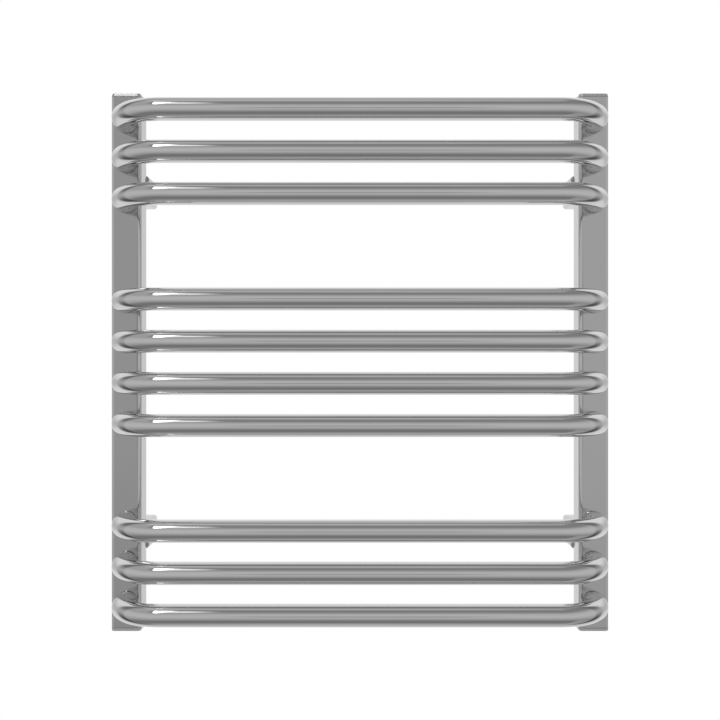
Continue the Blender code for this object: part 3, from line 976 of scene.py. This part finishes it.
spout.transform(Matrix.Translation((0, 0, spout_middle)) @ Matrix.Rotation(pi / 2, 4, "Y"))
spout_mesh = bpy.data.meshes.new("spout")
spout.to_mesh(spout_mesh)
collar.from_mesh(spout_mesh)
nozzle = place(collar, "ribbed_nozzle", white_plastic, vent_place, TOWARDS_WALL)
nozzle_ribs = ribs(
    "nozzle_ribs", 28, NOZZLE_RIM, NOZZLE_RIB, nozzle_start + 0.9 * MM, nozzle_end - 1.4 * MM,
    white_plastic, vent_place,
)
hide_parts("vent_nozzle")
for piece in (nozzle, nozzle_ribs):
    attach(piece, "vent_nozzle")
print("nozzle", [round(v / MM, 1) for v in nozzle.dimensions], "mm")

# %% The bleed screw
bleed_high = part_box("bleed_screw")[1].y - post_back_y
HEAD = 3.8 * MM
STEM = 2.5 * MM
POINT, POINT_LENGTH = 1.0 * MM, 1.5 * MM
SLOT_WIDTH, SLOT_DEPTH = 1.0 * MM, 1.5 * MM
BLEED_STEPS = 48
head_start = neck_end + PLAY
bleed_profile = [
    (POINT, 0),
    (STEM, POINT_LENGTH),
    (STEM, head_start),
    (HEAD, head_start),
    (HEAD, bleed_high - 0.6 * MM),
    (HEAD - 0.2 * MM, bleed_high - 0.2 * MM),
    (HEAD - 0.6 * MM, bleed_high),
]
bleed_skin = turned(bleed_profile, BLEED_STEPS)
bleed = place(bleed_skin, "slotted_bleed_screw", fitting_chrome, vent_place, TOWARDS_WALL)
slot_outline = rounded_square(3 * HEAD, SLOT_WIDTH, 0.2 * MM, steps=2, support=0.05 * MM)
slot_cutter = skin([(slot_outline, bleed_high - SLOT_DEPTH), (slot_outline, bleed_high + HEAD)])
slot_cutter.transform(Matrix.Translation(Vector(vent_place)) @ TOWARDS_WALL)
cut(bleed, [slot_cutter])
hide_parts("bleed_screw")
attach(bleed, "bleed_screw")
print("bleed screw", [round(v / MM, 1) for v in bleed.dimensions], "mm")

# %% The plug
KEY_MOUTH = 5.4 * MM
PLUG_RIB = 0.3 * MM
PLUG_RIM = FLANGE - PLUG_RIB
plug_key = hexagon(3.98 * MM, 4.6 * MM)
plug_stack = [
    (circle(SHANK - EDGE), -SHANK_LENGTH),
    (circle(SHANK), EDGE - SHANK_LENGTH),
    (circle(SHANK), flange_start),
    (circle(PLUG_RIM - 0.5 * MM), flange_start),
    (circle(PLUG_RIM), flange_start + 0.5 * MM),
    (circle(PLUG_RIM), flange_end - 0.8 * MM),
    (circle(PLUG_RIM - 0.8 * MM), flange_end),
    (circle(KEY_MOUTH), flange_end),
    (plug_key, flange_end - 0.6 * MM),
    (plug_key, flange_start),
]
plug_piece = place(skin(plug_stack), "knurled_plug", fitting_chrome, plug_place, TOWARDS_WALL)
plug_ribs = ribs(
    "plug_ribs", 48, PLUG_RIM, PLUG_RIB, flange_start + 0.7 * MM, flange_end - 1.0 * MM,
    fitting_chrome, plug_place,
)
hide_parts("blanking_plug")
for piece in (plug_piece, plug_ribs):
    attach(piece, "rack")

# %% [markdown]
# ## Studio
# A polished tube shows a whole circle of the room, squeezed into its width. So the room is the main
# light here, and it is made as greys by height, for four parts of it: what lies ahead of the rack,
# the narrow gap at each side, what lies behind, and the wall straight behind. The camera sees
# plain white past the rack.

# %% Directions in the room, in degrees
world = bpy.data.worlds.new("studio")
world.use_nodes = True
scene.world = world
sky = world.node_tree
sky.nodes.clear()
direction = add(sky, "ShaderNodeTexCoord").outputs["Generated"]
axes = add(sky, "ShaderNodeSeparateXYZ", Vector=direction).outputs
to_degrees = 180 / pi
ahead = maths(sky, "MULTIPLY", axes["Y"], -1.0)
azimuth = maths(sky, "MULTIPLY", maths(sky, "ARCTAN2", axes["X"], ahead), to_degrees)
aside = maths(sky, "ABSOLUTE", azimuth)
elevation = maths(sky, "MULTIPLY", maths(sky, "ARCSINE", axes["Z"]), to_degrees)
height_share = maths(sky, "MULTIPLY_ADD", elevation, 1 / 180, 0.5)


def by_height(stops):
    """Greys given at heights in degrees, from straight down to straight up."""
    return ramp(sky, height_share, [((degree + 90) / 180, level) for degree, level in stops])


def step(value, start, end):
    """Nothing at start, one at end, and smooth between."""
    node = add(
        sky, "ShaderNodeMapRange", {"interpolation_type": "SMOOTHSTEP"},
        Value=value, From_Min=start, From_Max=end,
    )
    return node.outputs[0]


def window(value, low, high, soft):
    """One between low and high, fading to nothing over a soft edge."""
    rising = step(value, low - soft, low + soft)
    falling = step(value, high + soft, high - soft)
    return maths(sky, "MULTIPLY", rising, falling)


def add_light(room, where, light):
    """Lift the room where a mask is one, or darken it with a light below nothing."""
    return mix_colours(sky, 1.0, room, maths(sky, "MULTIPLY", where, light), "ADD")


# %% [markdown]
# Ahead there is a level band of mid grey, a dark floor in front of the rack, and a dark gap over
# the lights. Behind, the room is bright above and below a grey line at eye height, and the white
# wall straight behind the rack is bright there too. The gap between ahead and behind is the dark
# side of the room, and it draws the dark curl inside each bend.

# %% The four parts of the room
in_front = by_height([
    (-90, 0.68), (-78, 0.56), (-70, 0.42), (-62, 0.29), (-50, 0.26), (-40, 0.29), (-33, 0.39),
    (-21, 0.56), (-12, 0.64), (-4, 0.71), (8, 0.71), (20, 0.67), (28, 0.58), (36, 0.44),
    (45, 0.33), (55, 0.31), (62, 0.36), (68, 0.52), (74, 0.65), (90, 0.66),
])
at_sides = by_height([
    (-90, 0.60), (-75, 0.42), (-63, 0.26), (-50, 0.15), (-39, 0.10), (-27, 0.14), (-16, 0.28),
    (-8, 0.45), (0, 0.57), (8, 0.57), (15, 0.48), (22, 0.34), (30, 0.23), (45, 0.20), (60, 0.25),
    (75, 0.42), (90, 0.60),
])
behind = by_height([
    (-90, 0.66), (-76, 0.68), (-68, 0.84), (-60, 0.78), (-50, 0.92), (-27, 1.0), (-15, 0.92),
    (-8, 0.74), (0, 0.68), (8, 0.70), (15, 0.88), (24, 1.03), (50, 1.05), (57, 0.95), (63, 0.62),
    (69, 0.48), (75, 0.64), (90, 0.66),
])
wall = by_height([
    (-90, 0.66), (-76, 0.68), (-68, 0.84), (-60, 0.80), (-50, 0.95), (-27, 1.05), (0, 1.06),
    (50, 1.06), (57, 0.95), (63, 0.62), (69, 0.48), (75, 0.64), (90, 0.66),
])
room = in_front
PARTS = [((84, 96), at_sides), ((105, 123), behind), ((152, 163), wall)]
for (start, end), part in PARTS:  # each takes over between these degrees aside
    room = mix_colours(sky, step(aside, start, end), room, part)

# %% Cards that lift or darken a part of the room, and a dark rail at eye height
CARDS = [  # azimuth, height, softness, light
    ((-92, -38), (38, 74), 9, 0.22),
    ((48, 88), (-76, -38), 9, 0.20),
    ((44, 90), (64, 90), 8, -0.16),
    ((-8, 8), (-4, 4), 3, -0.30),
]
for across, up, soft, light in CARDS:
    card = maths(sky, "MULTIPLY", window(azimuth, *across, soft), window(elevation, *up, soft))
    room = add_light(room, card, light)

# %% [markdown]
# The brightest thing in the room is a soft lamp, high on the left. Each bend on that side squeezes
# it into a teardrop, whose thin end runs out along the straight tube. So the lamp has a bright
# head on the outside and a dim tail towards the middle, and it leans outwards as it goes up.

# %% The soft lamp
LAMP_HEIGHT = 46.0
LAMP_LEAN = 0.25  # degrees outwards for each degree up
LAMP_OUTER = (-28.5, -25.5)  # where it fades in, on the outside
LAMP_SOFT = 3  # how softly it ends above and below
LAMP = [  # where it ends towards the middle, softness there, height, light
    (-18.0, 0.6, (37, 56), 6.0),
    (-13.9, 1.7, (40, 53), 1.0),
]
above_lamp = maths(sky, "SUBTRACT", elevation, LAMP_HEIGHT)
lean = maths(sky, "MULTIPLY_ADD", above_lamp, LAMP_LEAN, azimuth)
for reach, soft, up, light in LAMP:
    sideways = maths(
        sky, "MULTIPLY", step(lean, *LAMP_OUTER), step(lean, reach + soft, reach - soft)
    )
    lamp = maths(sky, "MULTIPLY", sideways, window(elevation, *up, LAMP_SOFT))
    room = add_light(room, lamp, light)

# %% What the metal reflects, and what the camera sees past it
ROOM_STRENGTH = 0.84
reflected = add(sky, "ShaderNodeBackground", Color=room, Strength=ROOM_STRENGTH)
seen = add(sky, "ShaderNodeBackground", Color=(1, 1, 1, 1), Strength=1.0)
rays = add(sky, "ShaderNodeLightPath").outputs["Is Camera Ray"]
either = sky.nodes.new("ShaderNodeMixShader")
plug(sky, either, "0", rays)
plug(sky, either, "1", reflected.outputs[0])
plug(sky, either, "2", seen.outputs[0])
sky.links.new(either.outputs[0], add(sky, "ShaderNodeOutputWorld").inputs["Surface"])
print("nodes in the studio:", len(sky.nodes))

# %% [markdown]
# The floor is a soft pool of pale ground that thins out to nothing, so that it has no edge. It
# isn't seen in the metal. A broad lamp over the shoulder lights the floor, the plastic and the
# rubber.

# %% A pale floor that fades out
FLOOR_Z = -0.5
POOL_MIDDLE = (0, -0.95, 0)
POOL_REACH = (1.7, 1.24, 1)
POOL_FADE = (0.45, 0.98)  # where it starts to thin out, and where nothing is left
pale, floor_tree, floor_shader, floor_place = start_material("pale_floor", 0.8)
floor_shader.inputs["Base Color"].default_value = (0.9, 0.9, 0.9, 1)
across_pool = add(
    floor_tree, "ShaderNodeMapping", {"vector_type": "TEXTURE"},
    Vector=floor_place, Location=POOL_MIDDLE, Scale=POOL_REACH,
)
flat_pool = add(
    floor_tree, "ShaderNodeVectorMath", {"operation": "MULTIPLY"}, **{"0": across_pool.outputs[0]}
)
flat_pool.inputs[1].default_value = (1, 1, 0)
from_centre = add(
    floor_tree, "ShaderNodeVectorMath", {"operation": "LENGTH"}, **{"0": flat_pool.outputs[0]}
).outputs["Value"]
thinning = between(floor_tree, from_centre, 1.0, 0.0, *POOL_FADE)
floor_tree.links.new(thinning, floor_shader.inputs["Alpha"])
floor_bm = bmesh.new()
bmesh.ops.create_grid(floor_bm, x_segments=8, y_segments=8, size=1)
floor_bm.transform(Matrix.Diagonal((*POOL_REACH, 1)))
floor = place(floor_bm, "floor", pale, (POOL_MIDDLE[0], POOL_MIDDLE[1], FLOOR_Z))
floor.visible_glossy = False
print("floor", [round(v, 2) for v in floor.dimensions], "m")

# %% A broad lamp
lamp_data = bpy.data.lights.new("broad_lamp", "AREA")
lamp_data.shape = "RECTANGLE"
lamp_data.size, lamp_data.size_y = 1.6, 1.0
lamp_data.energy = 22  # watts
broad_lamp = bpy.data.objects.new("broad_lamp", lamp_data)
broad_lamp.location = (-0.9, -0.6, 1.6)
broad_lamp.rotation_euler = (-broad_lamp.location).to_track_quat("-Z", "Y").to_euler()
broad_lamp.visible_glossy = False
scene.collection.objects.link(broad_lamp)
print("lamp", round(broad_lamp.location.length, 2), "m from the rack's middle")

# %% [markdown]
# ## Camera
# The rack is looked at straight on, a little over a metre away, with a lens just longer than
# normal. The posts then stay upright, and their inner sides just show.

# %% Place the camera
LENS = 51.8  # millimetres, on a 36 mm sensor
DISTANCE = 1.1135
EYE_HEIGHT = 0.0022
camera_data = bpy.data.cameras.new("camera")
camera_data.lens = LENS
camera_data.sensor_width = 36
camera = bpy.data.objects.new("camera", camera_data)
camera.location = (0, -DISTANCE, EYE_HEIGHT)
camera.rotation_euler = (pi / 2, 0, 0)
scene.collection.objects.link(camera)
scene.camera = camera
scene.view_settings.view_transform = "Standard"

# %% Update the scene
bpy.context.view_layer.update()
